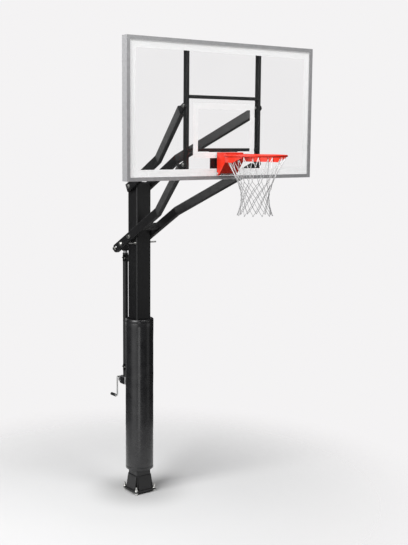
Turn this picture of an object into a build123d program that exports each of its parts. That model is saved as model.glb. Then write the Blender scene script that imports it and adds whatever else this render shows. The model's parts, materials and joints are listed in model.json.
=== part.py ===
from build123d import *
import math
import os

# Bolt-down basketball hoop, millimetres. X runs along the board, the board faces -Y, Z is up.
# The origin is on the ground, on the pole's axis.

# Ground anchor and base plate
STUD_RADIUS = 7.9375
THREAD_RADIUS = 7.2
STUD_SPACING = 196.85
STUD_BOTTOM = -130.0
STUD_TOP = 72.0
PLATE_SIZE = 228.6
PLATE_THICK = 15.9
PLATE_BOTTOM = 19.0
NUT_AF = 24.0
NUT_THICK = 14.0
WASHER_THICK = 3.0

# Pole, cap and pad
POLE_SIZE = 152.4
POLE_WALL = 4.8
POLE_CORNER = 14.0
POLE_TOP = 2872.0
CAP_THICK = 14.0
PAD_RADIUS = 129.0
PAD_BOTTOM = 225.0
PAD_TOP = 1645.0
PAD_SLOT = 60.0

# Parallel arms
LOWER_Z = 2400.0
UPPER_Z = 2850.0
ARM_RUN = 1216.0
ARM_RISE = 680.0
ARM_WIDTH = 38.1
ARM_HEIGHT = 76.2
ARM_WALL = 3.0
ARM_IN_X = 98.4
ARM_OUT_X = 366.0
BEND_Y = 450.0
TAB_IN_X = 370.3
TAB_THICK = 12.7
TAB_HEIGHT = 44.0
CLOSED_END = 60.0
PIVOT_RADIUS = 9.525
RUNNING = 0.06
SLEEVE_RADIUS = 15.875
TIE_U = -158.0
CROSS_U = 205.0

# Screw jack
JACK_Y = 240.0
JACK_RADIUS = 24.15
JACK_WALL = 3.0
JACK_BOTTOM = 1045.0
JACK_TOP = 2215.0
ROD_RADIUS = 19.05
SCREW_RADIUS = 9.525
SCREW_TOP = 1560.0
CROSS_PIN_RADIUS = 8.0
BRACKET_ZS = (1145.0, 2178.0)
CRANK_Z = 1018.0
CRANK_Y = 392.0
CRANK_DROP = 196.0

# Backboard
BOARD_WIDTH = 1828.8
BOARD_HEIGHT = 1066.8
BOARD_FRONT = -1253.7
BOARD_BOTTOM = 2962.0
RAIL_FACE = 29.0
RAIL_DEPTH = 67.7
RAIL_WALL = 3.0
GLASS_THICK = 9.5
UPRIGHT_X = 356.0
UPRIGHT_WIDTH = 25.4
UPRIGHT_DEPTH = 44.45
LOWER_BAR_Z = 3194.0
UPPER_BAR_Z = 3602.0
BORDER_INNER = 84.0
SQUARE_BOTTOM = 3131.0
SQUARE_TOP = 3556.0
SQUARE_WIDTH = 610.0
LINE_WIDTH = 46.0

# Rim
RIM_TOP = 3165.0
RING_WIRE = 8.0
RING_RADIUS = 236.5
RING_Y = -1634.7
CARRIER_HALF = 88.0
CARRIER_TOP = 3176.0
CARRIER_BOTTOM = 2995.0
CARRIER_REAR = -1265.0
CARRIER_FRONT = -1376.0
CARRIER_PLATE = 4.0
HINGE_Y = -1278.0
HINGE_Z = 3010.0
HINGE_RADIUS = 6.35
BRACE_THICK = 4.5
BRACE_OUTER = 234.0
BRACE_BOTTOM = 3105.0
NET_LOOPS = 12
NET_BOTTOM = 2700.0

# Worked out from the driving dimensions
PLATE_TOP = PLATE_BOTTOM + PLATE_THICK
POLE_HALF = POLE_SIZE / 2
BOARD_TOP = BOARD_BOTTOM + BOARD_HEIGHT
BOARD_MID_Z = BOARD_BOTTOM + BOARD_HEIGHT / 2
BOARD_HALF = BOARD_WIDTH / 2
BOARD_BACK = BOARD_FRONT + RAIL_DEPTH
GLASS_FRONT = BOARD_FRONT + RAIL_WALL
GLASS_BACK = GLASS_FRONT + GLASS_THICK
UPRIGHT_FRONT = GLASS_BACK + 0.5
ARM_TILT = math.atan2(ARM_RISE, ARM_RUN)
ARM_LENGTH = math.hypot(ARM_RUN, ARM_RISE)
BUSH_RADIUS = 12.7
RING_Z = RIM_TOP - RING_WIRE
ON_BASE = (Align.CENTER, Align.CENTER, Align.MIN)

PARTS = {}


def rod(radius, start, end):
    """Round bar between two points."""
    run = Vector(*end) - Vector(*start)
    return Plane(origin=start, z_dir=run) * Cylinder(radius, run.length, align=ON_BASE)


def pipe(outer, inner, start, end):
    """Round tube, bush or washer between two points."""
    return rod(outer, start, end) - rod(inner, start, end)


def hexagon(across, start, end, bore=0.0):
    """Hexagon head, or a nut when a bore is given."""
    run = Vector(*end) - Vector(*start)
    outline = RegularPolygon(across / 2, 6, major_radius=False)
    solid = Plane(origin=start, z_dir=run) * extrude(outline, run.length)
    if bore:
        solid = solid - rod(bore, start, end)
    return solid


def block(x_span, y_span, z_span):
    """Box between the given limits."""
    size = [high - low for low, high in (x_span, y_span, z_span)]
    middle = [(high + low) / 2 for low, high in (x_span, y_span, z_span)]
    return Pos(*middle) * Box(*size)


def column(width, corner, low, high):
    """Upright bar of square section with rounded corners."""
    return Pos(0, 0, low) * extrude(RectangleRounded(width, width, corner), high - low)


def add(name, *solids):
    """Keep the solids of one node."""
    PARTS[name] = [solid for shape in solids for solid in shape.solids()]


def stud_places():
    """The four anchor positions."""
    half = STUD_SPACING / 2
    return [(x, y) for x in (-half, half) for y in (-half, half)]


def make_base():
    plate = Pos(0, 0, PLATE_BOTTOM) * extrude(RectangleRounded(PLATE_SIZE, PLATE_SIZE, 20), PLATE_THICK)
    studs, nuts = [], []
    for x, y in stud_places():
        plate -= rod(STUD_RADIUS + 1.6, (x, y, 0), (x, y, PLATE_TOP))
        stud = rod(STUD_RADIUS, (x, y, STUD_BOTTOM), (x, y, 0))
        stud += rod(THREAD_RADIUS, (x, y, 0), (x, y, STUD_TOP))
        studs.append(chamfer(stud.edges().group_by(Axis.Z)[-1], 1.5))
        for low, away in ((PLATE_BOTTOM, -1), (PLATE_TOP, 1)):
            face = low + away * WASHER_THICK
            ends = sorted((low, face))
            nuts.append(pipe(17.0, STUD_RADIUS + 0.3, (x, y, ends[0]), (x, y, ends[1])))
            ends = sorted((face, face + away * NUT_THICK))
            nuts.append(hexagon(NUT_AF, (x, y, ends[0]), (x, y, ends[1]), THREAD_RADIUS + 0.01))
    add("base_plate", plate)
    add("anchor_studs", *studs)
    add("anchor_nuts", *nuts)


def make_foot_plates():
    """Four sloping plates that flare the foot of the pole out to the base plate."""
    thick, flare, top = 5.0, 26.0, 170.0
    outline = Polyline(
        (POLE_HALF, PLATE_TOP),
        (POLE_HALF + flare, PLATE_TOP),
        (POLE_HALF + thick, top - 8),
        (POLE_HALF, top),
        close=True,
    )
    hollow = Polyline(
        (POLE_HALF, PLATE_TOP),
        (POLE_HALF + flare - thick, PLATE_TOP),
        (POLE_HALF, top - 34),
        close=True,
    )
    section = Plane.XZ * (make_face(outline) - make_face(hollow))
    plate = extrude(section, POLE_HALF - 5, both=True)
    add("foot_plates", *[Rot(0, 0, quarter * 90) * plate for quarter in range(4)])


def make_pole():
    tube = column(POLE_SIZE, POLE_CORNER, PLATE_TOP, POLE_TOP)
    tube -= column(POLE_SIZE - 2 * POLE_WALL, POLE_CORNER - POLE_WALL, PLATE_TOP, POLE_TOP)
    sleeves = []
    for z in (LOWER_Z, UPPER_Z):
        ends = (-POLE_HALF, 0, z), (POLE_HALF, 0, z)
        tube -= rod(SLEEVE_RADIUS, *ends)
        sleeves.append(pipe(SLEEVE_RADIUS, PIVOT_RADIUS + 0.1, *ends))
    tube -= rod(7.1, (-POLE_HALF, -51, 2345), (POLE_HALF, -51, 2345))
    add("pole_tube", tube)
    add("pivot_sleeves", *sleeves)


def make_cap():
    lid = column(POLE_SIZE + 2, POLE_CORNER + 1, POLE_TOP, POLE_TOP + CAP_THICK)
    lid = fillet(lid.edges().group_by(Axis.Z)[-1], 9)
    skirt_size = POLE_SIZE - 2 * POLE_WALL - 0.6
    skirt = column(skirt_size, 8.5, POLE_TOP - 26, POLE_TOP)
    skirt -= column(skirt_size - 8, 4.5, POLE_TOP - 26, POLE_TOP)
    skirt -= block((-POLE_SIZE, POLE_SIZE), (-20, 20), (POLE_TOP - 26, POLE_TOP - 4))
    add("pole_cap", lid + skirt)


def make_pad():
    pad = rod(PAD_RADIUS, (0, 0, PAD_BOTTOM), (0, 0, PAD_TOP))
    pad -= column(POLE_SIZE + 1, POLE_CORNER, PAD_BOTTOM, PAD_TOP)
    pad -= block((-PAD_SLOT / 2, PAD_SLOT / 2), (0, PAD_RADIUS + 5), (PAD_BOTTOM, PAD_TOP))
    add("pole_pad", pad)


def make_pole_pivots():
    """Long bolts through the pole with spacer washers, outer washers and nuts."""
    fasteners = []
    inner, outer = ARM_IN_X - ARM_WIDTH / 2 - 0.15, ARM_IN_X + ARM_WIDTH / 2 + 0.15
    for z in (LOWER_Z, UPPER_Z):
        head = outer + WASHER_THICK
        shank = rod(PIVOT_RADIUS, (-head, 0, z), (head + 17, 0, z))
        fasteners.append(shank + hexagon(28.6, (-head - 11, 0, z), (-head, 0, z)))
        fasteners.append(hexagon(28.6, (head, 0, z), (head + 12, 0, z), PIVOT_RADIUS + 0.01))
        for side in (-1, 1):
            for low, high in ((POLE_HALF, inner), (outer, head)):
                ends = (side * low, 0, z), (side * high, 0, z)
                fasteners.append(pipe(20.0, PIVOT_RADIUS + 0.2, *ends))
    add("pivot_bolts", *fasteners)


def make_stop_rod():
    """Cross rod under the lower arms that limits how far they come down, with thin push-on washers."""
    y, z, reach = -51.0, 2345.0, 145.0
    pieces = [rod(7.0, (-reach, y, z), (reach, y, z))]
    for side in (-1, 1):
        pieces.append(pipe(13.0, 7.01, (side * POLE_HALF, y, z), (side * (POLE_HALF + 2.5), y, z)))
    add("stop_rod", *pieces)


def band(points, width):
    """Flat strip of constant width along straight runs, mitred where they meet."""
    corners = [Vector(*point) for point in points]
    runs = [(after - before).normalized() for before, after in zip(corners, corners[1:])]
    left, right = [], []
    for index, corner in enumerate(corners):
        before = runs[max(index - 1, 0)]
        after = runs[min(index, len(runs) - 1)]
        mitre = (before + after).normalized()
        reach = width / 2 / mitre.dot(after)
        offset = Vector(-mitre.Y, mitre.X) * reach
        left.append(corner + offset)
        right.append(corner - offset)
    return make_face(Polyline(*left, *reversed(right), close=True))


def arm_plane(pivot_z):
    """Plane whose X runs along an arm, whose Y is the row's X and whose Z is across the arm."""
    along = (0, -math.cos(ARM_TILT), math.sin(ARM_TILT))
    across = (0, math.sin(ARM_TILT), math.cos(ARM_TILT))
    return Plane(origin=(0, 0, pivot_z), x_dir=along, z_dir=across)


def arm_tube(side, rear):
    """Kinked rectangular tube, open at the rear and closed at the board end, in the arm's plane."""
    bend = BEND_Y / math.cos(ARM_TILT)
    closed = ARM_LENGTH - CLOSED_END
    slope = (ARM_OUT_X - ARM_IN_X) / (closed - bend)
    path = [(rear, side * ARM_IN_X), (bend, side * ARM_IN_X), (closed, side * ARM_OUT_X)]
    outer = extrude(band(path, ARM_WIDTH), ARM_HEIGHT / 2, both=True)
    long_edges = [edge for edge in outer.edges() if edge.length > ARM_HEIGHT * 2]
    outer = fillet(long_edges, 5)
    inner_path = [
        (rear - 10, side * ARM_IN_X),
        (bend, side * ARM_IN_X),
        (closed - 5, side * (ARM_OUT_X - 5 * slope)),
    ]
    inner = extrude(band(inner_path, ARM_WIDTH - 2 * ARM_WALL), ARM_HEIGHT / 2 - ARM_WALL, both=True)
    return outer - inner


def arm_tab(side):
    """Flat tongue at the board end, rounded about the board pivot."""
    ends = (side * TAB_IN_X, side * (TAB_IN_X + TAB_THICK))
    x_span = (min(ends), max(ends))
    tab = block((ARM_LENGTH - CLOSED_END - 4, ARM_LENGTH), x_span, (-TAB_HEIGHT / 2, TAB_HEIGHT / 2))
    tab += rod(TAB_HEIGHT / 2, (ARM_LENGTH, x_span[0], 0), (ARM_LENGTH, x_span[1], 0))
    return tab - rod(6.65, (ARM_LENGTH, x_span[0], 0), (ARM_LENGTH, x_span[1], 0))


def arm_hole(radius, u):
    """Cutter for a hole through both arms of a pair."""
    return rod(radius, (u, -200, 0), (u, 200, 0))


def rear_slot():
    """Cutter for the slot in which the jack's cross pin slides as the arms turn."""
    low = -JACK_Y / math.cos(ARM_TILT) + 2.75
    high = -JACK_Y - 2.0
    slot = arm_hole(13.0, low) + arm_hole(13.0, high)
    return slot + block((low, high), (-200, 200), (-13, 13))


def rear_chamfers():
    """Cutters for the sloping corners of the lower arms' rear ends."""
    start, tip, half, tip_half = -272.0, -297.0, ARM_HEIGHT / 2, 14.0
    outline = Polyline(
        (start, half + 1), (tip - 10, half + 1), (tip - 10, tip_half), (tip, tip_half), (start, half), close=True
    )
    upper = extrude(Plane.XZ * make_face(outline), 200, both=True)
    return [upper, mirror(upper, Plane.XY)]


def make_lower_arms():
    place = arm_plane(LOWER_Z)
    for name, side in (("left", -1), ("right", 1)):
        arm = arm_tube(side, -297.0) + arm_tab(side)
        arm -= arm_hole(BUSH_RADIUS, 0)
        arm -= arm_hole(8.2, TIE_U)
        arm -= rear_slot()
        for cutter in rear_chamfers():
            arm -= cutter
        add("lower_arm_" + name, place * arm)


def make_upper_arms():
    place = arm_plane(UPPER_Z)
    plugs = []
    for name, side in (("left", -1), ("right", 1)):
        arm = arm_tube(side, -34.0) + arm_tab(side)
        arm -= arm_hole(BUSH_RADIUS, 0)
        add("upper_arm_" + name, place * arm)
        half = ARM_WIDTH / 2
        x_span = (side * ARM_IN_X - half, side * ARM_IN_X + half)
        plug = block((-38, -34), x_span, (-ARM_HEIGHT / 2, ARM_HEIGHT / 2))
        plug = fillet(plug.edges().group_by(Axis.X)[0], 2)
        wall = ARM_WALL + 0.1
        inside = (x_span[0] + wall, x_span[1] - wall)
        plug += block((-34, -18), inside, (-ARM_HEIGHT / 2 + wall, ARM_HEIGHT / 2 - wall))
        plugs.append(place * plug)
    add("upper_arm_plugs", *plugs)


def make_arm_bushes():
    """Steel bushes welded across the arms, which turn on the pole pivot bolts."""
    for name, z in (("lower", LOWER_Z), ("upper", UPPER_Z)):
        bushes = []
        for side in (-1, 1):
            low = (side * (ARM_IN_X - ARM_WIDTH / 2), 0, z)
            high = (side * (ARM_IN_X + ARM_WIDTH / 2), 0, z)
            bushes.append(pipe(BUSH_RADIUS, PIVOT_RADIUS + RUNNING, low, high))
        add(name + "_arm_bushes", *bushes)


def make_arm_ties():
    """Square cross tube in front of the pole, and the rear spacer with its bolt, nut and large washers."""
    place = arm_plane(LOWER_Z)
    inner, outer = ARM_IN_X - ARM_WIDTH / 2, ARM_IN_X + ARM_WIDTH / 2
    half, wall = 25.4, 3.0
    cross = block((CROSS_U - half, CROSS_U + half), (-inner, inner), (-half, half))
    cross = fillet(cross.edges().filter_by(Axis.Y), 4)
    half -= wall
    cross -= block((CROSS_U - half, CROSS_U + half), (-inner, inner), (-half, half))
    spacer = pipe(16.0, 8.6, (TIE_U, -inner, 0), (TIE_U, inner, 0))
    head = outer + WASHER_THICK
    bolt = rod(8.0, (TIE_U, -head, 0), (TIE_U, head + 14, 0))
    bolt += hexagon(24, (TIE_U, -head - 10, 0), (TIE_U, -head, 0))
    pieces = [bolt, hexagon(24, (TIE_U, head, 0), (TIE_U, head + 10, 0), 8.01)]
    for side in (-1, 1):
        pieces.append(pipe(24.0, 8.3, (TIE_U, side * outer, 0), (TIE_U, side * head, 0)))
    add("arm_cross_tubes", place * cross, place * spacer)
    add("rear_tie_bolt", *[place * piece for piece in pieces])


def make_jack_mounts():
    """Brackets welded to the pole, and the U-bolts that hold the jack's outer tube in them."""
    saddle = JACK_Y - JACK_RADIUS
    leg_x = JACK_RADIUS + 5.0
    brackets, bolts = [], []
    for z in BRACKET_ZS:
        bracket = block((-28, 28), (POLE_HALF, POLE_HALF + 6), (z - 55, z + 55))
        bracket += block((-16, 16), (POLE_HALF, saddle - 5), (z - 30, z + 30))
        bracket += block((-45, 45), (saddle - 6, saddle), (z - 30, z + 30))
        bracket -= block((-12, 12), (POLE_HALF, saddle - 6), (z - 26, z + 26))
        path = Line((-leg_x, saddle - 20, z), (-leg_x, JACK_Y, z))
        path += ThreePointArc((-leg_x, JACK_Y, z), (0, JACK_Y + leg_x, z), (leg_x, JACK_Y, z))
        path += Line((leg_x, JACK_Y, z), (leg_x, saddle - 20, z))
        start = Plane(origin=(-leg_x, saddle - 20, z), z_dir=(0, 1, 0))
        bolts.append(sweep(start * Circle(4.76), path=path))
        for side in (-1, 1):
            hole = (side * leg_x, saddle - 6, z), (side * leg_x, saddle, z)
            bracket -= rod(5.2, *hole)
            nut = (side * leg_x, saddle - 14, z), (side * leg_x, saddle - 6, z)
            bolts.append(hexagon(16, *nut, 4.78))
        brackets.append(bracket)
    add("jack_brackets", *brackets)
    add("jack_u_bolts", *bolts)


def make_jack_tubes():
    bore = JACK_RADIUS - JACK_WALL
    add("jack_housing", pipe(JACK_RADIUS, bore, (0, JACK_Y, JACK_BOTTOM), (0, JACK_Y, JACK_TOP)))
    guide = pipe(bore - 0.05, ROD_RADIUS + RUNNING, (0, JACK_Y, JACK_TOP - 40), (0, JACK_Y, JACK_TOP))
    guide += pipe(26.0, ROD_RADIUS + RUNNING, (0, JACK_Y, JACK_TOP), (0, JACK_Y, JACK_TOP + 6))
    add("jack_guide_bush", guide)


def pin_height():
    """Height of the jack's cross pin with the arms fully raised, a little above the arms' axis."""
    return LOWER_Z - JACK_Y * math.tan(ARM_TILT) + 2.9


def make_jack_rod():
    """Inner tube of the jack with its nut, head and cross pin."""
    z = pin_height()
    add("jack_rod", pipe(ROD_RADIUS, 14.0, (0, JACK_Y, 1300), (0, JACK_Y, z - 26)))
    add("screw_nut", pipe(13.95, SCREW_RADIUS + RUNNING, (0, JACK_Y, 1300), (0, JACK_Y, 1340)))
    head = block((-25, 25), (JACK_Y - 22, JACK_Y + 22), (z - 26, z + 26))
    head = fillet(head.edges().filter_by(Axis.X), 9)
    ends = (-25, JACK_Y, z), (25, JACK_Y, z)
    add("rod_head", head - rod(CROSS_PIN_RADIUS, *ends))
    inner, outer = ARM_IN_X - ARM_WIDTH / 2, ARM_IN_X + ARM_WIDTH / 2
    head_x = outer + 0.4 + WASHER_THICK
    pin = rod(CROSS_PIN_RADIUS, (-head_x, JACK_Y, z), (head_x + 14, JACK_Y, z))
    pin += hexagon(24, (-head_x - 10, JACK_Y, z), (-head_x, JACK_Y, z))
    pieces = [pin, hexagon(24, (head_x, JACK_Y, z), (head_x + 10, JACK_Y, z), 8.01)]
    for side in (-1, 1):
        for low, high, radius in ((25, inner - 0.4, 13.0), (outer + 0.4, head_x, 20.0)):
            span = (side * low, JACK_Y, z), (side * high, JACK_Y, z)
            pieces.append(pipe(radius, CROSS_PIN_RADIUS + 0.05, *span))
    add("cross_pin", *pieces)


def bevel_gear(back, tip, bore):
    """Bevel gear between two points of its axis, with rounded gaps between the teeth."""
    teeth, large, small = 12, 17.8, 9.8
    run = Vector(*tip) - Vector(*back)
    gear = Cone(large, small, run.length, align=ON_BASE)
    gear += Pos(0, 0, -4) * Cylinder(12, 4, align=ON_BASE)
    for tooth in range(teeth):
        gap = rod(1.7, (large + 1.2, 0, -1), (small + 0.2, 0, run.length + 1))
        gear -= Rot(0, 0, tooth * 360 / teeth) * gap
    gear -= Pos(0, 0, -4) * Cylinder(bore, run.length + 2, align=ON_BASE)
    return Plane(origin=back, z_dir=run) * gear


def make_gearbox():
    body = block((-30, 30), (208, 290), (975, JACK_BOTTOM))
    body = fillet(body.edges().filter_by(Axis.Z), 7)
    boss = rod(36, (0, 284, CRANK_Z - 8), (0, 318, CRANK_Z - 8))
    boss = fillet(boss.edges().group_by(Axis.Y)[-1], 8)
    body += boss
    body -= block((-24, 24), (214, 284), (983, 1040))
    body -= block((-31, -24), (222, 276), (990, 1034))
    body -= rod(16, (0, JACK_Y, 1036), (0, JACK_Y, 1046))
    body -= rod(12, (0, 280, CRANK_Z), (0, 320, CRANK_Z))
    cover = fillet(block((-36, -30), (212, 283), (980, 1042)).edges().filter_by(Axis.X), 8)
    screws = []
    for y in (218, 277):
        for z in (986, 1036):
            cover -= rod(3.2, (-36, y, z), (-30, y, z))
            body -= rod(3.0, (-31, y, z), (-25, y, z))
            screws.append(rod(2.95, (-36, y, z), (-25, y, z)) + rod(5, (-39, y, z), (-36, y, z)))
    bearings = [
        pipe(JACK_RADIUS - JACK_WALL - 0.05, SCREW_RADIUS + RUNNING, (0, JACK_Y, 1045.5), (0, JACK_Y, 1057)),
        pipe(11.95, 8.0 + RUNNING, (0, 284, CRANK_Z), (0, 318, CRANK_Z)),
    ]
    add("gearbox_housing", body)
    add("gearbox_cover", cover, *screws)
    add("gearbox_bearings", *bearings)


def make_screw():
    screw = rod(SCREW_RADIUS, (0, JACK_Y, 1030), (0, JACK_Y, SCREW_TOP))
    screw += rod(15, (0, JACK_Y, 1057.3), (0, JACK_Y, 1066))
    add("lead_screw", screw)
    add("screw_gear", bevel_gear((0, JACK_Y, CRANK_Z + 18), (0, JACK_Y, CRANK_Z + 10), SCREW_RADIUS))


def make_crank():
    gear = bevel_gear((0, JACK_Y + 18, CRANK_Z), (0, JACK_Y + 10, CRANK_Z), 8.0)
    add("crank_shaft", rod(8.0, (0, 252, CRANK_Z), (0, 345, CRANK_Z)) + gear)
    low = CRANK_Z - CRANK_DROP
    bar = 6.5
    path = FilletPolyline((0, 350, CRANK_Z), (0, CRANK_Y, CRANK_Z), (0, CRANK_Y, low), (0, 503, low), radius=16)
    handle = sweep(Plane(origin=(0, 350, CRANK_Z), z_dir=(0, 1, 0)) * Circle(bar), path=path)
    handle += rod(13, (0, 322, CRANK_Z), (0, 352, CRANK_Z))
    handle -= rod(8.0, (0, 322, CRANK_Z), (0, 345, CRANK_Z))
    for low_y, high_y in ((415, 418.6), (499.4, 504)):
        handle += rod(10, (0, low_y, low), (0, high_y, low))
    grip = pipe(14, bar + RUNNING, (0, 419, low), (0, 499, low))
    grip = fillet(grip.faces().filter_by(Axis.Y).edges().filter_by(lambda e: e.radius > 10), 3)
    add("crank_handle", handle)
    add("crank_grip", grip)


def board_ring(inset, width, y_span):
    """Rectangular ring parallel to the board's edge."""
    ring = board_block(inset, y_span)
    return ring - board_block(inset + width, y_span)


def board_block(inset, y_span):
    """Board-sized slab, smaller by the inset on all four edges."""
    half = BOARD_HALF - inset
    return block((-half, half), y_span, (BOARD_BOTTOM + inset, BOARD_TOP - inset))


def upright_notches(y_span):
    """Cutters where the uprights pass through the frame's inner lip and the gasket."""
    half = UPRIGHT_WIDTH / 2 + 0.2
    return [
        block((side * UPRIGHT_X - half, side * UPRIGHT_X + half), y_span, (BOARD_BOTTOM + 3, BOARD_TOP - 3))
        for side in (-1, 1)
    ]


def rim_bolt_places():
    """The four holes that hold the rim, 127 mm by 101.6 mm."""
    return [(x, z) for x in (-63.5, 63.5) for z in (3063.5, 3165.1)]


def make_glass():
    glass = board_block(9.0, (GLASS_FRONT, GLASS_BACK))
    for x, z in rim_bolt_places():
        glass -= rod(8.0, (x, GLASS_FRONT, z), (x, GLASS_BACK, z))
    gasket = board_ring(3.1, 5.8, (GLASS_FRONT, GLASS_BACK))
    gasket += board_ring(3.1, 20.0, (GLASS_BACK, GLASS_BACK + 3))
    for notch in upright_notches((GLASS_BACK + 0.3, GLASS_BACK + 3)):
        gasket -= notch
    add("glass_panel", glass)
    add("glass_gasket", gasket)


def make_target_lines():
    """White lines printed on the back of the glass: border and shooter's square."""
    ink = (GLASS_BACK, GLASS_BACK + 0.3)
    half = SQUARE_WIDTH / 2
    inner = half - LINE_WIDTH
    square = block((-half, half), ink, (SQUARE_BOTTOM, SQUARE_TOP))
    square -= block((-inner, inner), ink, (SQUARE_BOTTOM + LINE_WIDTH, SQUARE_TOP - LINE_WIDTH))
    for x, z in rim_bolt_places():
        square -= rod(8.0, (x, ink[0], z), (x, ink[1], z))
    add("target_lines", board_ring(23.5, BORDER_INNER - 23.5, ink), square)


def make_board_frame():
    """Four mitred aluminium rails with a front lip, an inner lip and a rear flange."""
    frame = board_ring(0, RAIL_WALL, (BOARD_FRONT, BOARD_BACK))
    frame += board_ring(0, RAIL_FACE, (BOARD_FRONT, GLASS_FRONT))
    frame += board_ring(0, RAIL_FACE, (BOARD_BACK - RAIL_WALL, BOARD_BACK))
    inner_lip = board_ring(0, RAIL_FACE - 4, (GLASS_BACK + 3, GLASS_BACK + 6))
    for notch in upright_notches((GLASS_BACK + 3, GLASS_BACK + 6)):
        inner_lip -= notch
    frame += inner_lip
    for side in (-1, 1):
        for z, depth in ((BOARD_BOTTOM, 3), (BOARD_TOP, -3)):
            y = UPRIGHT_FRONT + UPRIGHT_DEPTH / 2
            frame -= rod(4.2, (side * UPRIGHT_X, y, z), (side * UPRIGHT_X, y, z + depth))
    reach = 60.0
    low, high, mid = BOARD_BOTTOM - BOARD_MID_Z, BOARD_TOP - BOARD_MID_Z, BOARD_HALF
    outlines = {
        "top": [(-mid, high), (mid, high), (mid - reach, high - reach), (reach - mid, high - reach)],
        "bottom": [(-mid, low), (mid, low), (mid - reach, low + reach), (reach - mid, low + reach)],
        "left": [(-mid, low), (-mid, high), (reach - mid, high - reach), (reach - mid, low + reach)],
        "right": [(mid, low), (mid, high), (mid - reach, high - reach), (mid - reach, low + reach)],
    }
    for name, outline in outlines.items():
        face = Plane.XZ * make_face(Polyline(*outline, close=True))
        wedge = Pos(0, (BOARD_FRONT + BOARD_BACK) / 2, BOARD_MID_Z) * extrude(face, RAIL_DEPTH, both=True)
        add("frame_rail_" + name, frame & wedge)


def make_corner_keys():
    """L-shaped keys inside the rails that join them at the corners."""
    y_span = (GLASS_BACK + 6.2, BOARD_BACK - RAIL_WALL - 0.2)
    ring = board_ring(3.1, 12.0, y_span)
    keys = []
    for x in (-BOARD_HALF, BOARD_HALF):
        for z in (BOARD_BOTTOM, BOARD_TOP):
            keys.append(ring & block((x - 90, x + 90), y_span, (z - 90, z + 90)))
    add("frame_corner_keys", *keys)


def make_uprights():
    """Two tubes behind the glass, with screws through the frame into plugs in their ends."""
    y_span = (UPRIGHT_FRONT, UPRIGHT_FRONT + UPRIGHT_DEPTH)
    middle_y = sum(y_span) / 2
    wall = 2.5
    screws = []
    for name, side in (("left", -1), ("right", 1)):
        x = side * UPRIGHT_X
        x_span = (x - UPRIGHT_WIDTH / 2, x + UPRIGHT_WIDTH / 2)
        inside_x = (x_span[0] + wall, x_span[1] - wall)
        inside_y = (y_span[0] + wall, y_span[1] - wall)
        tube = block(x_span, y_span, (BOARD_BOTTOM + 3, BOARD_TOP - 3))
        tube = fillet(tube.edges().filter_by(Axis.Z), 2.2)
        tube -= block(inside_x, inside_y, (BOARD_BOTTOM, BOARD_TOP))
        for z in (LOWER_Z + ARM_RISE, UPPER_Z + ARM_RISE):
            pivot_y = -ARM_RUN
            tube -= rod(6.4, (x_span[0], pivot_y, z), (x_span[1], pivot_y, z))
        for z, up in ((BOARD_BOTTOM + 3, 1), (BOARD_TOP - 3, -1)):
            plug = block(inside_x, inside_y, sorted((z, z + up * 24)))
            screws.append(plug - rod(4.0, (x, middle_y, z), (x, middle_y, z + up * 20)))
            screws.append(rod(4.0, (x, middle_y, z - up * 3), (x, middle_y, z + up * 20)))
        add("upright_" + name, tube)
    add("frame_screws", *screws)


def make_crossbars():
    half = UPRIGHT_X - UPRIGHT_WIDTH / 2
    y_span = (UPRIGHT_FRONT, UPRIGHT_FRONT + UPRIGHT_DEPTH)
    inside = (y_span[0] + 2.5, y_span[1] - 2.5)
    bars = []
    for z in (LOWER_BAR_Z, UPPER_BAR_Z):
        bar = block((-half, half), y_span, (z - 12.7, z + 12.7))
        bar = fillet(bar.edges().filter_by(Axis.X), 2.2)
        bars.append(bar - block((-half, half), inside, (z - 10.2, z + 10.2)))
    add("crossbars", *bars)


def make_rim_mount():
    """Steel plate with two ribs, hanging from the lower crossbar behind the glass."""
    top, bottom = LOWER_BAR_Z - 12.7, 3048.0
    front = UPRIGHT_FRONT
    plate = block((-136, 136), (front, front + 6), (bottom, top))
    for x in (-120, -6, 108):
        rib = Polyline((front + 5, bottom + 10), (front + 5, top), (front + 42, top), close=True)
        face = Plane.YZ.offset(x) * make_face(rib)
        plate += extrude(face, 12)
    for x, z in rim_bolt_places():
        plate -= rod(6.5, (x, front, z), (x, front + 6, z))
    add("rim_mount_plate", plate)


def make_board_pivots():
    """Bolts through the uprights that carry the arm tongues, with washers and nuts."""
    fasteners = []
    inner = UPRIGHT_X - UPRIGHT_WIDTH / 2
    outer = UPRIGHT_X + UPRIGHT_WIDTH / 2
    tab_outer = TAB_IN_X + TAB_THICK + 0.2
    y = -ARM_RUN
    for z in (LOWER_Z + ARM_RISE, UPPER_Z + ARM_RISE):
        for side in (-1, 1):
            bolt = rod(6.35, (side * (inner - 14), y, z), (side * (tab_outer + 3), y, z))
            bolt += hexagon(19, (side * (tab_outer + 3), y, z), (side * (tab_outer + 11), y, z))
            nut = (side * (inner - 10), y, z), (side * inner, y, z)
            fasteners.append(bolt)
            fasteners.append(hexagon(19, *nut, 6.36))
            for low, high in ((outer, TAB_IN_X - 0.2), (tab_outer, tab_outer + 3)):
                fasteners.append(pipe(15, 6.5, (side * low, y, z), (side * high, y, z)))
    add("board_pivot_bolts", *fasteners)


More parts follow.
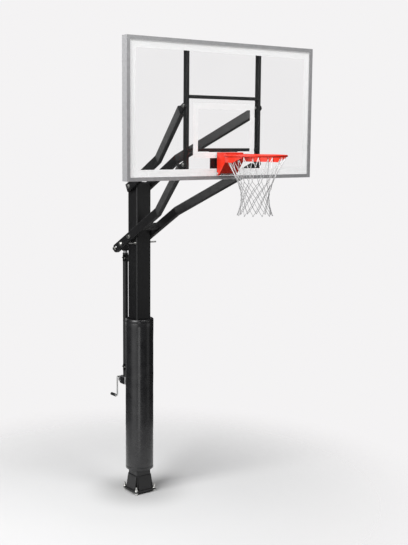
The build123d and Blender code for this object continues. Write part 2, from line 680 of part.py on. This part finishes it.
def make_rim_back():
    """Rubber pad, steel back plate with hinge ears, hinge pin and the bolts through the glass."""
    plate_front = GLASS_FRONT - 9.0
    pad = block((-80, 80), (GLASS_FRONT - 3, GLASS_FRONT), (2996, 3174))
    plate = block((-80, 80), (plate_front, GLASS_FRONT - 3), (2996, 3174))
    for side in (-1, 1):
        x_span = sorted((side * 70, side * 76))
        ear = block(x_span, (HINGE_Y, plate_front + 1), (HINGE_Z - 13, HINGE_Z + 13))
        ear += rod(13, (x_span[0], HINGE_Y, HINGE_Z), (x_span[1], HINGE_Y, HINGE_Z))
        plate += ear - rod(HINGE_RADIUS, (x_span[0], HINGE_Y, HINGE_Z), (x_span[1], HINGE_Y, HINGE_Z))
    bolts = []
    back = UPRIGHT_FRONT + 6
    for x, z in rim_bolt_places():
        hole = (x, plate_front, z), (x, GLASS_FRONT, z)
        pad -= rod(6.5, *hole)
        plate -= rod(6.5, *hole)
        bolt = rod(6.0, (x, plate_front - 3.0, z), (x, back + 14, z))
        bolt = bolt + rod(10.0, (x, plate_front - 3.0, z), (x, plate_front, z))
        bolts.append(bolt)
        bolts.append(hexagon(19, (x, back, z), (x, back + 10, z), 6.01))
    add("rim_gasket", pad)
    add("rim_back_plate", plate)
    add("rim_bolts", *bolts)
    pin = rod(HINGE_RADIUS, (-95, HINGE_Y, HINGE_Z), (95, HINGE_Y, HINGE_Z))
    for side in (-1, 1):
        pin += rod(10, (side * 88.6, HINGE_Y, HINGE_Z), (side * 93, HINGE_Y, HINGE_Z))
    add("rim_hinge_pin", pin)


def carrier_outline(margin):
    """Side view of the rim bracket as (y, z), shrunk by a margin at the front and bottom."""
    return Polyline(
        (CARRIER_REAR, CARRIER_TOP),
        (CARRIER_REAR, 2999 + margin),
        (CARRIER_REAR - 5, CARRIER_BOTTOM + margin),
        (-1288, CARRIER_BOTTOM + margin),
        (CARRIER_FRONT + margin, 3107 + margin / 2),
        (CARRIER_FRONT + margin, CARRIER_TOP - 4),
        (CARRIER_FRONT + 4 + margin, CARRIER_TOP),
        close=True,
    )


def make_carrier():
    """Folded steel bracket that carries the ring: sides, top, front, sloping bottom and rear wall."""
    side_face = Plane.YZ * make_face(carrier_outline(0))
    shell = extrude(side_face, CARRIER_HALF, both=True)
    inner_face = Plane.YZ * make_face(carrier_outline(CARRIER_PLATE))
    hollow = extrude(inner_face, CARRIER_HALF - CARRIER_PLATE, both=True)
    hollow = hollow & block((-100, 100), (-1400, CARRIER_REAR - CARRIER_PLATE), (2900, CARRIER_TOP - 4))
    shell -= hollow
    shell -= block((-84, 84), (-1300, CARRIER_REAR + 1), (2990, 3031))
    shell -= rod(HINGE_RADIUS + RUNNING, (-90, HINGE_Y, HINGE_Z), (90, HINGE_Y, HINGE_Z))
    for x, z in rim_bolt_places():
        shell -= rod(11.5, (x, CARRIER_REAR - 5, z), (x, CARRIER_REAR + 1, z))
    add("rim_carrier", shell)


def make_ring():
    ring = Pos(0, RING_Y, RING_Z) * Torus(RING_RADIUS, RING_WIRE)
    neck = block((-60, 60), (RING_Y + RING_RADIUS - 4, CARRIER_FRONT), (RING_Z - 5, RING_Z + 5))
    neck -= rod(RING_RADIUS, (0, RING_Y, RING_Z - 6), (0, RING_Y, RING_Z + 6))
    add("rim_ring", ring, neck - ring)


def brace_band(side):
    """Strip under the ring on one side, from the bracket round past the ring's widest point."""
    middle = BRACE_OUTER - BRACE_THICK / 2
    corner = (CARRIER_HALF - 3, CARRIER_FRONT + 1 - RING_Y)
    distance = math.hypot(*corner)
    tangent = math.atan2(corner[0], corner[1]) + math.acos(middle / distance)
    end = math.radians(115.0)
    halfway = (tangent + end) / 2
    spots = [(middle * math.sin(angle), middle * math.cos(angle)) for angle in (tangent, halfway, end)]
    path = [(side * x, RING_Y + y) for x, y in [corner] + spots]
    line = Line(path[0], path[1]) + ThreePointArc(path[1], path[2], path[3])
    strip = trace(line, BRACE_THICK)
    top = RING_Z - RING_WIRE + 0.5
    return extrude(Plane.XY.offset(BRACE_BOTTOM) * strip, top - BRACE_BOTTOM)


def make_brace():
    taper = make_face(Polyline(
        (RING_Y - 5, BRACE_BOTTOM - 1),
        (RING_Y - 130, BRACE_BOTTOM - 1),
        (RING_Y - 130, RIM_TOP),
        (RING_Y - 100, RING_Z - RING_WIRE - 6),
        close=True,
    ))
    cutter = extrude(Plane.YZ * taper, 300, both=True)
    ring = Pos(0, RING_Y, RING_Z) * Torus(RING_RADIUS, RING_WIRE + 0.02)
    bracket = block((-CARRIER_HALF, CARRIER_HALF), (CARRIER_FRONT, CARRIER_REAR), (BRACE_BOTTOM, RIM_TOP))
    bands = [brace_band(side) - cutter - ring - bracket for side in (-1, 1)]
    add("rim_brace", *bands)


def make_net_hooks():
    """Bent wire loops inside the ring that hold the net."""
    hooks = []
    for index in range(NET_LOOPS):
        angle = math.radians((index + 0.5) * 360 / NET_LOOPS)
        spread = math.radians(2.6)
        ends = []
        for turn in (angle - spread, angle + spread):
            ends.append((math.sin(turn), math.cos(turn)))
        reach, low, high = 226.8, RING_Z - RING_WIRE - 10, RING_Z + 1
        left, right = [(reach * x, RING_Y + reach * y) for x, y in ends]
        path = FilletPolyline((*left, high), (*left, low), (*right, low), (*right, high), radius=4)
        hooks.append(sweep(Plane(origin=(*left, high), z_dir=(0, 0, -1)) * Circle(2.0), path=path))
    ring = Pos(0, RING_Y, RING_Z) * Torus(RING_RADIUS, RING_WIRE + 0.01)
    add("net_hooks", *[hook - ring for hook in hooks])


def make_net():
    """Plain open sleeve with the outer shape of the hanging net."""
    profile = [
        (224.0, 3134.0),
        (139.0, 2960.0),
        (116.0, 2890.0),
        (108.0, 2835.0),
        (116.0, 2775.0),
        (139.0, NET_BOTTOM),
    ]
    wall = 3.0
    inner = [(radius - wall, z) for radius, z in reversed(profile)]
    section = Plane.XZ * make_face(Polyline(*profile, *inner, close=True))
    add("net", Pos(0, RING_Y, 0) * revolve(section, Axis.Z))


def make_springs():
    """Two torsion springs coiled round the hinge pin, with short straight tails."""
    turns, radius, wire, length = 7, 10.6, 1.9, 38.0
    springs = []
    for start in (-60, 22):
        helix = Helix(pitch=length / turns, height=length, radius=radius)
        section = Plane(origin=helix @ 0, z_dir=helix % 0) * Circle(wire)
        coil = Rot(0, 90, 0) * sweep(section, path=helix)
        springs.append(Pos(start, HINGE_Y, HINGE_Z) * coil)
    add("rim_springs", *springs)


def build_all():
    make_base()
    make_foot_plates()
    make_pole()
    make_cap()
    make_pad()
    make_pole_pivots()
    make_stop_rod()
    make_lower_arms()
    make_upper_arms()
    make_arm_bushes()
    make_arm_ties()
    make_jack_mounts()
    make_jack_tubes()
    make_jack_rod()
    make_gearbox()
    make_screw()
    make_crank()
    make_glass()
    make_target_lines()
    make_board_frame()
    make_corner_keys()
    make_uprights()
    make_crossbars()
    make_rim_mount()
    make_board_pivots()
    make_rim_back()
    make_carrier()
    make_ring()
    make_brace()
    make_net_hooks()
    make_net()
    make_springs()


build_all()
os.makedirs("parts", exist_ok=True)
for node, solids in PARTS.items():
    export_step(Compound(children=solids), os.path.join("parts", node + ".step"))
print(len(PARTS), "nodes written")
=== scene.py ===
import json
import math
import random

import bmesh
import bpy
from mathutils import Matrix, Vector


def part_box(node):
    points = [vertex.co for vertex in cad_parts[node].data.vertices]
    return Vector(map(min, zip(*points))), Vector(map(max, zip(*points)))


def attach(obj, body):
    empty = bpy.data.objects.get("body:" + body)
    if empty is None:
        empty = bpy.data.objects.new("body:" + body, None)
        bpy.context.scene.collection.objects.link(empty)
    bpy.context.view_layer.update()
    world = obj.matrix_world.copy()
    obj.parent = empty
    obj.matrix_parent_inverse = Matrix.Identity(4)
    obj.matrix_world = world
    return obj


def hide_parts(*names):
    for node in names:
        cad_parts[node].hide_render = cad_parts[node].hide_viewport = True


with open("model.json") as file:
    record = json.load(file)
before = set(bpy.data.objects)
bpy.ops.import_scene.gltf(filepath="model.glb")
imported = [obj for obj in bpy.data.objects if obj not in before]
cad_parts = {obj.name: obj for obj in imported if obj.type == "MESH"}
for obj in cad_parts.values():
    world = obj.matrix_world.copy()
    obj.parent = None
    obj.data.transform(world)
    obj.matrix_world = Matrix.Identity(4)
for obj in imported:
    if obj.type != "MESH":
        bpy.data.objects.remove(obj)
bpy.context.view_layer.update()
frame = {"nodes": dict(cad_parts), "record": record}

nodes = frame["nodes"]

# ---------------------------------------------------------------- camera


CAMERA_PLACE = (-4.761, -7.395, 3.305)
CAMERA_YAW_PITCH_ROLL = (-36.61, -8.01, 0.50)
CAMERA_LENS = 64.25


def make_camera():
    """View from the left front, a little above the rim, far away with a long lens."""
    place = Vector(CAMERA_PLACE)
    yaw, pitch, roll = (math.radians(angle) for angle in CAMERA_YAW_PITCH_ROLL)
    forward = Vector((-math.sin(yaw) * math.cos(pitch), math.cos(yaw) * math.cos(pitch), math.sin(pitch)))
    level = Vector((math.cos(yaw), math.sin(yaw), 0))
    up = level.cross(forward)
    right = math.cos(roll) * level + math.sin(roll) * up
    top = -math.sin(roll) * level + math.cos(roll) * up
    data = bpy.data.cameras.new("camera")
    data.lens = CAMERA_LENS
    data.sensor_width = 36
    data.clip_end = 200
    camera = bpy.data.objects.new("camera", data)
    camera.matrix_world = Matrix.Translation(place) @ Matrix((right, top, -forward)).transposed().to_4x4()
    bpy.context.scene.collection.objects.link(camera)
    bpy.context.scene.camera = camera


make_camera()

# ---------------------------------------------------------------- material tools


def new_material(name, color, roughness, metallic=0.0, **sockets):
    """Material with a Principled shader whose plain values are set on its own sockets."""
    material = bpy.data.materials.new(name)
    material.use_nodes = True
    shader = material.node_tree.nodes["Principled BSDF"]
    shader.inputs["Base Color"].default_value = (*color, 1)
    shader.inputs["Roughness"].default_value = roughness
    shader.inputs["Metallic"].default_value = metallic
    for socket, value in sockets.items():
        shader.inputs[socket.replace("_", " ")].default_value = value
    return material


def add_node(material, kind, **inputs):
    """Shader node with the given input values or links."""
    node = material.node_tree.nodes.new(kind)
    for key, value in inputs.items():
        socket = node.inputs[key.replace("_", " ")]
        if isinstance(value, bpy.types.NodeSocket):
            material.node_tree.links.new(value, socket)
        else:
            socket.default_value = value
    return node


def row_coordinates(material, stretch=(1, 1, 1)):
    """Position in the row's frame, in metres, stretched for grain or brushing."""
    place = add_node(material, "ShaderNodeTexCoord").outputs["Object"]
    return add_node(material, "ShaderNodeMapping", Vector=place, Scale=stretch).outputs["Vector"]


def noise(material, scale, detail=4.0, stretch=(1, 1, 1)):
    vector = row_coordinates(material, stretch)
    return add_node(material, "ShaderNodeTexNoise", Vector=vector, Scale=scale, Detail=detail).outputs["Fac"]


def shader_of(material):
    return material.node_tree.nodes["Principled BSDF"]


def vary(material, socket, factor, low, high):
    """Drive a shader socket between two values by a texture."""
    span = add_node(material, "ShaderNodeMapRange", Value=factor, From_Min=0.3, From_Max=0.7,
                    To_Min=low, To_Max=high)
    material.node_tree.links.new(span.outputs["Result"], shader_of(material).inputs[socket])


def tint(material, factor, low, high):
    """Blend the base colour between two colours by a texture."""
    mix = add_node(material, "ShaderNodeMix")
    mix.data_type = "RGBA"
    colors = [socket for socket in mix.inputs if socket.type == "RGBA"]
    colors[0].default_value = (*low, 1)
    colors[1].default_value = (*high, 1)
    ramp = add_node(material, "ShaderNodeMapRange", Value=factor, From_Min=0.35, From_Max=0.65)
    material.node_tree.links.new(ramp.outputs["Result"], mix.inputs["Factor"])
    result = [socket for socket in mix.outputs if socket.type == "RGBA"][0]
    material.node_tree.links.new(result, shader_of(material).inputs["Base Color"])


def bump(material, height, strength, distance):
    """Relief from a texture; distance is its depth in metres."""
    node = add_node(material, "ShaderNodeBump", Height=height, Strength=strength, Distance=distance)
    material.node_tree.links.new(node.outputs["Normal"], shader_of(material).inputs["Normal"])


# ---------------------------------------------------------------- materials


def powder_coat(name, color, lighter, roughness, relief=0.25):
    """Baked powder paint: fine orange-peel relief and slow changes of gloss."""
    material = new_material(name, color, roughness, Coat_Weight=0.05, Coat_Roughness=0.25)
    tint(material, noise(material, 3.0, stretch=(1, 1, 0.3)), color, lighter)
    vary(material, "Roughness", noise(material, 25.0), roughness - 0.05, roughness + 0.07)
    bump(material, noise(material, 700.0, 2.0), relief, 0.0004)
    return material


def zinc_plate():
    material = new_material("zinc", (0.72, 0.72, 0.70), 0.28, 1.0)
    tint(material, noise(material, 120.0), (0.66, 0.66, 0.62), (0.80, 0.80, 0.80))
    vary(material, "Roughness", noise(material, 300.0), 0.22, 0.38)
    bump(material, noise(material, 900.0, 2.0), 0.15, 0.0002)
    return material


def brushed_metal(name, low, high, roughness, stretch, metallic=1.0):
    """Metal with fine lines along one direction."""
    material = new_material(name, high, roughness, metallic)
    tint(material, noise(material, 400.0, 3.0, stretch), low, high)
    vary(material, "Roughness", noise(material, 60.0), roughness - 0.05, roughness + 0.08)
    bump(material, noise(material, 900.0, 2.0, stretch), 0.12, 0.0002)
    return material


def cast_metal():
    material = new_material("cast_aluminium", (0.72, 0.72, 0.73), 0.42, 1.0)
    tint(material, noise(material, 60.0), (0.60, 0.60, 0.61), (0.80, 0.80, 0.81))
    bump(material, noise(material, 450.0, 6.0), 0.5, 0.0006)
    return material


def clear_glass():
    """Clear sheet: a faint veil face on, more reflective at a slant."""
    material = new_material("tempered_glass", (0.10, 0.11, 0.11), 0.04, IOR=1.5)
    slant = add_node(material, "ShaderNodeLayerWeight", Blend=0.5).outputs["Facing"]
    power = add_node(material, "ShaderNodeMath")
    power.operation = "POWER"
    material.node_tree.links.new(slant, power.inputs[0])
    power.inputs[1].default_value = 4.0
    veil = add_node(material, "ShaderNodeMapRange", Value=noise(material, 1.5, 3.0), From_Min=0.3,
                    From_Max=0.7, To_Min=0.036, To_Max=0.048)
    total = add_node(material, "ShaderNodeMath")
    total.operation = "MULTIPLY_ADD"
    material.node_tree.links.new(power.outputs["Value"], total.inputs[0])
    total.inputs[1].default_value = 0.3
    material.node_tree.links.new(veil.outputs["Result"], total.inputs[2])
    material.node_tree.links.new(total.outputs["Value"], shader_of(material).inputs["Alpha"])
    return material


def print_with_glow():
    # Painted light: the print glows a little so it stays brighter than the backdrop
    material = new_material("print_white", (0.85, 0.85, 0.85), 0.6, Emission_Strength=0.37)
    shader_of(material).inputs["Emission Color"].default_value = (1, 1, 1, 1)
    tint(material, noise(material, 90.0), (0.80, 0.80, 0.80), (0.86, 0.86, 0.86))
    bump(material, noise(material, 600.0), 0.1, 0.0001)
    return material


def moulded(name, color, lighter, roughness, relief):
    """Moulded plastic or rubber."""
    material = new_material(name, color, roughness)
    tint(material, noise(material, 40.0), color, lighter)
    vary(material, "Roughness", noise(material, 80.0), roughness - 0.06, roughness + 0.08)
    bump(material, noise(material, 1100.0, 3.0), relief, 0.0003)
    return material


def rim_paint():
    """Bright powder coat: slightly mottled, with a soft coat."""
    material = new_material("rim_red", (0.78, 0.03, 0.01), 0.45, Coat_Weight=0.05, Coat_Roughness=0.2)
    tint(material, noise(material, 30.0), (0.66, 0.018, 0.004), (0.76, 0.028, 0.006))
    vary(material, "Roughness", noise(material, 90.0), 0.40, 0.52)
    bump(material, noise(material, 800.0, 2.0), 0.2, 0.0003)
    return material


SHADED_BELOW = 2.93
WHITE_ABOVE = 3.06


def net_cord():
    """Braided cord: white near the ring, grey lower down from painted shade, with slanted ribs and fuzz."""
    material = new_material("net_white", (0.82, 0.82, 0.82), 0.8, Sheen_Weight=0.3, Sheen_Roughness=0.5)
    split = add_node(material, "ShaderNodeSeparateXYZ")
    material.node_tree.links.new(row_coordinates(material), split.inputs[0])
    # Painted shade: the white cord is made grey lower down, with a little random tone mixed in
    share = add_node(material, "ShaderNodeMapRange", Value=split.outputs["Z"], From_Min=SHADED_BELOW,
                     From_Max=WHITE_ABOVE, To_Min=0.33, To_Max=0.60)
    shade_and_tone = add_node(material, "ShaderNodeMath")
    shade_and_tone.operation = "MULTIPLY_ADD"
    material.node_tree.links.new(noise(material, 120.0), shade_and_tone.inputs[0])
    shade_and_tone.inputs[1].default_value = 0.08
    material.node_tree.links.new(share.outputs["Result"], shade_and_tone.inputs[2])
    tint(material, shade_and_tone.outputs["Value"], (0.32, 0.32, 0.325), (0.85, 0.85, 0.85))
    ribs = add_node(material, "ShaderNodeTexWave", Vector=row_coordinates(material), Scale=180.0,
                    Distortion=4.0, Detail=2.0)
    bump(material, ribs.outputs["Fac"], 0.8, 0.0008)
    return material


def coated_vinyl():
    """Black coated cover cloth: leather-like grain over a slow waviness."""
    material = new_material("pad_black", (0.010, 0.010, 0.011), 0.26, Coat_Weight=0.3, Coat_Roughness=0.15)
    tint(material, noise(material, 12.0), (0.010, 0.010, 0.011), (0.017, 0.017, 0.018))
    vary(material, "Roughness", noise(material, 9.0), 0.22, 0.32)
    grain = add_node(material, "ShaderNodeTexVoronoi", Vector=row_coordinates(material), Scale=500.0)
    bump(material, grain.outputs["Distance"], 0.25, 0.0005)
    return material


MATERIALS = {
    "powder_black": powder_coat("powder_black", (0.006, 0.006, 0.0065), (0.009, 0.009, 0.0095), 0.36),
    "zinc": zinc_plate(),
    "steel": brushed_metal("steel", (0.45, 0.45, 0.46), (0.60, 0.60, 0.61), 0.25, (1, 1, 0.05)),
    "frame_aluminium": brushed_metal("frame_aluminium", (0.44, 0.44, 0.45), (0.50, 0.50, 0.51), 0.5,
                                     (0.1, 1, 0.1), metallic=0.55),
    "cast_aluminium": cast_metal(),
    "tempered_glass": clear_glass(),
    "print_white": print_with_glow(),
    "black_rubber": moulded("black_rubber", (0.015, 0.015, 0.015), (0.025, 0.025, 0.025), 0.7, 0.5),
    "black_plastic": moulded("black_plastic", (0.012, 0.012, 0.013), (0.018, 0.018, 0.02), 0.25, 0.1),
    "rim_red": rim_paint(),
    "net_white": net_cord(),
    "pad_black": coated_vinyl(),
    "chrome": brushed_metal("chrome", (0.80, 0.80, 0.80), (0.88, 0.88, 0.88), 0.12, (1, 1, 0.2)),
    "bronze": brushed_metal("bronze", (0.50, 0.33, 0.14), (0.62, 0.44, 0.22), 0.35, (1, 1, 1)),
}


def dress_frame():
    """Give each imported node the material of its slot."""
    slots = {part["node"]: part["material_slot"] for part in frame["record"]["subparts"]}
    for name, obj in nodes.items():
        obj.data.materials.clear()
        obj.data.materials.append(MATERIALS[slots[name]])


dress_frame()

# ---------------------------------------------------------------- mesh tools


def add_piece(name, mesh, body, slot):
    """Put a new smooth mesh into the scene, riding on a body with a slot's finish."""
    piece = bpy.data.objects.new(name, mesh)
    bpy.context.scene.collection.objects.link(piece)
    mesh.materials.clear()
    mesh.materials.append(MATERIALS[slot])
    for face in mesh.polygons:
        face.use_smooth = True
    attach(piece, body)
    return piece


def tubes_mesh(name, paths, resolution):
    """One mesh of round cords; each path is a list of (point, radius)."""
    curve = bpy.data.curves.new(name, "CURVE")
    curve.dimensions = "3D"
    curve.bevel_depth = 1.0
    curve.bevel_resolution = resolution
    curve.resolution_u = 4
    curve.use_fill_caps = True
    for path in paths:
        spline = curve.splines.new("NURBS")
        spline.points.add(len(path) - 1)
        for spot, (point, radius) in zip(spline.points, path):
            spot.co = (*point, 1)
            spot.radius = radius
        spline.order_u = 3
        spline.use_endpoint_u = True
    carrier = bpy.data.objects.new(name, curve)
    bpy.context.scene.collection.objects.link(carrier)
    bpy.context.view_layer.update()
    mesh = bpy.data.meshes.new_from_object(carrier.evaluated_get(bpy.context.evaluated_depsgraph_get()))
    bpy.data.objects.remove(carrier)
    bpy.data.curves.remove(curve)
    return mesh


# ---------------------------------------------------------------- net

hook_low, hook_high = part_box("net_hooks")
net_low, net_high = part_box("net")
LOOPS = 12
HOOK_WIRE = 0.002
# Turn off the X axis of the hook wire that reaches furthest along it
HOOK_TURN = math.radians(12.4)
HOOK_RADIUS = ((hook_high.x - hook_low.x) / 2 - HOOK_WIRE) / math.cos(HOOK_TURN)
NET_AXIS = Vector((0, (hook_low.y + hook_high.y) / 2, 0))
# Share of the net's height, and the radius there
NET_HANG = [(0.0, 0.1365), (0.172, 0.1145), (0.311, 0.1065), (0.438, 0.1145), (0.599, 0.1375), (1.0, 0.2220)]
# Spans from row to row, scaled to fill the net's height
ROW_SPANS = [0.182, 0.047, 0.047, 0.045, 0.058, 0.053]
HOOK_GAP = 0.001
HEM_GAP = 0.004
CORD_RADIUS = 0.0022
LOOP_RADIUS = 0.0026
END_RADIUS = 0.0024
CORD_OFFSET = 0.0011
KNOT_RADIUS = 0.0042
# Uneven hang of each crossing: radians round the ring, metres up or down
TWIST = 0.012
LIFT = 0.003


def net_radius(z):
    """Radius of the hanging net at a height: straight legs, then a waist and a slight flare."""
    share = min(1.0, max(0.0, (z - net_low.z) / (net_high.z - net_low.z)))
    for (low, narrow), (high, wide) in zip(NET_HANG, NET_HANG[1:]):
        if share <= high:
            return narrow + (wide - narrow) * (share - low) / (high - low)


def net_rows():
    """Height where the cords leave the hooks, then of each row of crossings."""
    top = hook_low.z - HOOK_GAP
    scale = (top - net_low.z - HEM_GAP) / sum(ROW_SPANS)
    heights = [top]
    for span in ROW_SPANS:
        heights.append(heights[-1] - span * scale)
    return heights


def net_point(turn, z, radius):
    return NET_AXIS + Vector((radius * math.sin(turn), radius * math.cos(turn), z))


def crossing_height(heights, row, lift):
    """Height of a crossing; the hem row stays level."""
    return heights[row] + (lift if row < len(heights) - 1 else 0)


def make_knots(places):
    """Small upright balls where cords cross."""
    shape = bmesh.new()
    stretch = Matrix.Diagonal((KNOT_RADIUS, KNOT_RADIUS, KNOT_RADIUS * 1.25, 1))
    for place in places:
        matrix = Matrix.Translation(place) @ stretch
        bmesh.ops.create_icosphere(shape, subdivisions=2, radius=1.0, matrix=matrix)
    mesh = bpy.data.meshes.new("net_knots")
    shape.to_mesh(mesh)
    shape.free()
    add_piece("net_knots", mesh, "rim", "net_white")


def make_net():
    """Twenty-four cords that start in pairs at the hooks and cross at knots."""
    random.seed(4)
    heights = net_rows()
    half_step = math.pi / LOOPS
    sway = {}
    strands, knots = [], []
    for row in range(1, len(heights)):
        for column in range(2 * LOOPS):
            sway[row, column] = (random.uniform(-TWIST, TWIST), random.uniform(-LIFT, LIFT))
    for hook in range(LOOPS):
        for way in (-1, 1):
            start = 2 * hook + 1
            turn = start * half_step
            path = [
                (net_point(turn - way * 0.006, heights[0] + 0.006, HOOK_RADIUS - 0.0045), END_RADIUS),
                (net_point(turn, heights[0] - 0.003, HOOK_RADIUS - 0.003), LOOP_RADIUS),
                (net_point(turn + way * 0.020, heights[0] - 0.014, HOOK_RADIUS - 0.008), LOOP_RADIUS),
            ]
            for row in range(1, len(heights)):
                column = (start + way * row) % (2 * LOOPS)
                twist, lift = sway[row, column]
                middle = turn + way * half_step * (row - 0.5)
                z = crossing_height(heights, row, lift)
                half_z = (heights[row - 1] + z) / 2
                path.append((net_point(middle, half_z, net_radius(half_z) - 0.002), CORD_RADIUS))
                spot = turn + way * half_step * row + twist
                path.append((net_point(spot, z, net_radius(z) + way * CORD_OFFSET), CORD_RADIUS))
            strands.append(path)
    for (row, column), (twist, lift) in sway.items():
        if (row + column) % 2:
            z = crossing_height(heights, row, lift)
            knots.append(net_point(column * half_step + twist, z, net_radius(z)))
    mesh = tubes_mesh("net_cords", strands, 3)
    piece = add_piece("net_cords", mesh, "rim", "net_white")
    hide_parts("net")
    make_knots(knots)


make_net()

# ---------------------------------------------------------------- pole pad

pad_low, pad_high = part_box("pole_pad")
PAD_INNER = 0.100
PAD_SLOT_HALF = 0.031
PAD_SIDES = 96
PAD_STEPS = 40
HEM = 0.034
GROOVE = 0.0009
WAVE = 0.0008


def ring_points(radius):
    """Points round the pad from one edge of its rear opening to the other."""
    gap = math.asin(PAD_SLOT_HALF / radius)
    turns = [gap + (2 * math.pi - 2 * gap) * step / PAD_SIDES for step in range(PAD_SIDES + 1)]
    return [(radius * math.sin(turn), radius * math.cos(turn)) for turn in turns]


def pad_profile():
    """Height and radius steps up the pad: rolled edges, a hem near each end and a faint waviness."""
    low, high, radius = pad_low.z, pad_high.z, pad_high.x
    edge = [(0.004, PAD_INNER), (0, PAD_INNER + 0.006), (0, radius - 0.010), (0.002, radius - 0.004)]
    edge += [(0.008, radius), (HEM - 0.004, radius), (HEM - 0.002, radius - GROOVE), (HEM, radius)]
    steps = [(low + rise, reach) for rise, reach in edge]
    for step in range(1, PAD_STEPS):
        z = low + HEM + (high - low - 2 * HEM) * step / PAD_STEPS
        steps.append((z, radius - WAVE * (1 + math.sin(z * 21.0) * math.sin(z * 7.3))))
    return steps + [(high - rise, reach) for rise, reach in reversed(edge)]


def make_pad():
    """Foam sleeve in a coated cover, open in a slot at the back for the jack's brackets."""
    shape = bmesh.new()
    grid = []
    for z, radius in pad_profile():
        grid.append([shape.verts.new((x, y, z)) for x, y in ring_points(radius)])
    for lower, upper in zip(grid, grid[1:] + grid[:1]):
        for step in range(PAD_SIDES):
            shape.faces.new((lower[step], lower[step + 1], upper[step + 1], upper[step]))
    shape.faces.new([ring[0] for ring in grid])
    shape.faces.new([ring[-1] for ring in reversed(grid)])
    bmesh.ops.recalc_face_normals(shape, faces=shape.faces[:])
    mesh = bpy.data.meshes.new("pad_cover")
    shape.to_mesh(mesh)
    shape.free()
    piece = add_piece("pad_cover", mesh, "root", "pad_black")
    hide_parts("pole_pad")


make_pad()

# ---------------------------------------------------------------- floor and light

FLOOR_RADIUS = 6.0
FLOOR_FADE = (0.9, 3.0)
FLOOR_SHADOW = (0.05, 0.62)
CAMERA_WHITE = (0.905, 0.895, 0.900, 1)
WORLD_BASE = 0.03
# Direction, cosines where the patch starts and is full, strength
WORLD_LOBES = [
    ((0.68, -0.73, 0.02), 0.93, 1.00, 0.60),
    ((-1.00, -0.25, 0.00), 0.80, 0.98, 0.80),
    ((-0.56, -0.79, -0.25), 0.982, 0.998, 2.20),
    ((0.00, 0.00, 1.00), 0.60, 1.00, 0.15),
    ((0.05, 1.00, 0.15), 0.90, 0.99, 0.80),
]


def make_floor():
    """Pale floor with a soft shadow painted round the foot of the pole, fading out away from it."""
    material = new_material("floor", (0.70, 0.70, 0.703), 0.9)
    place = add_node(material, "ShaderNodeTexCoord").outputs["Object"]
    length = add_node(material, "ShaderNodeVectorMath")
    length.operation = "LENGTH"
    material.node_tree.links.new(place, length.inputs[0])
    fade = add_node(material, "ShaderNodeMapRange", Value=length.outputs["Value"], From_Min=FLOOR_FADE[0],
                    From_Max=FLOOR_FADE[1], To_Min=1.0, To_Max=0.0)
    fade.interpolation_type = "SMOOTHSTEP"
    material.node_tree.links.new(fade.outputs["Result"], shader_of(material).inputs["Alpha"])
    shadow = add_node(material, "ShaderNodeMapRange", Value=length.outputs["Value"], From_Min=FLOOR_SHADOW[0],
                      From_Max=FLOOR_SHADOW[1], To_Min=0.35, To_Max=0.65)
    shadow.interpolation_type = "SMOOTHERSTEP"
    tint(material, shadow.outputs["Result"], (0.52, 0.52, 0.52), (0.755, 0.755, 0.758))
    shape = bmesh.new()
    bmesh.ops.create_circle(shape, cap_ends=True, radius=FLOOR_RADIUS, segments=96)
    mesh = bpy.data.meshes.new("floor")
    shape.to_mesh(mesh)
    shape.free()
    mesh.materials.append(material)
    floor = bpy.data.objects.new("floor", mesh)
    bpy.context.scene.collection.objects.link(floor)


def world_lobe(tree, direction, start, end, strength):
    """Soft patch of brightness round a direction."""
    place = tree.nodes.new("ShaderNodeTexCoord").outputs["Generated"]
    dot = tree.nodes.new("ShaderNodeVectorMath")
    dot.operation = "DOT_PRODUCT"
    dot.inputs[1].default_value = Vector(direction).normalized()
    tree.links.new(place, dot.inputs[0])
    ramp = tree.nodes.new("ShaderNodeMapRange")
    ramp.interpolation_type = "SMOOTHSTEP"
    ramp.inputs["From Min"].default_value = start
    ramp.inputs["From Max"].default_value = end
    ramp.inputs["To Max"].default_value = strength
    tree.links.new(dot.outputs["Value"], ramp.inputs["Value"])
    return ramp.outputs["Result"]


def make_world():
    """White surroundings for the camera and a dim studio with soft patches for the light."""
    world = bpy.data.worlds.new("studio")
    bpy.context.scene.world = world
    world.use_nodes = True
    tree = world.node_tree
    back = tree.nodes["Background"]
    seen = tree.nodes.new("ShaderNodeBackground")
    mix = tree.nodes.new("ShaderNodeMixShader")
    path = tree.nodes.new("ShaderNodeLightPath")
    back.inputs["Color"].default_value = (1, 1, 1, 1)
    total = None
    for lobe in WORLD_LOBES:
        patch = world_lobe(tree, *lobe)
        add = tree.nodes.new("ShaderNodeMath")
        add.operation = "ADD"
        tree.links.new(patch, add.inputs[0])
        add.inputs[1].default_value = WORLD_BASE
        if total:
            tree.links.new(total, add.inputs[1])
        total = add.outputs["Value"]
    tree.links.new(total, back.inputs["Strength"])
    seen.inputs["Color"].default_value = CAMERA_WHITE
    seen.inputs["Strength"].default_value = 1.0
    tree.links.new(path.outputs["Is Camera Ray"], mix.inputs["Fac"])
    tree.links.new(back.outputs[0], mix.inputs[1])
    tree.links.new(seen.outputs[0], mix.inputs[2])
    tree.links.new(mix.outputs[0], tree.nodes["World Output"].inputs["Surface"])


def add_light(name, place, target, size, power):
    """Rectangular softbox aimed at a point."""
    data = bpy.data.lights.new(name, "AREA")
    data.shape = "RECTANGLE"
    data.size, data.size_y = size
    data.energy = power
    light = bpy.data.objects.new(name, data)
    aim = (Vector(target) - Vector(place)).to_track_quat("-Z", "Y")
    light.matrix_world = Matrix.Translation(place) @ aim.to_matrix().to_4x4()
    light.visible_camera = False
    bpy.context.scene.collection.objects.link(light)


make_floor()
make_world()
add_light("front_high", (1.5, -6.5, 8.0), (0, -1.2, 3.2), (4.0, 3.0), 260)
add_light("left_high", (-7.0, -2.0, 7.0), (0, -1.0, 2.8), (6.0, 6.0), 1050)
add_light("top", (0, -0.6, 9.0), (0, -0.6, 0), (5.0, 5.0), 190)
bpy.context.scene.view_settings.view_transform = "Standard"
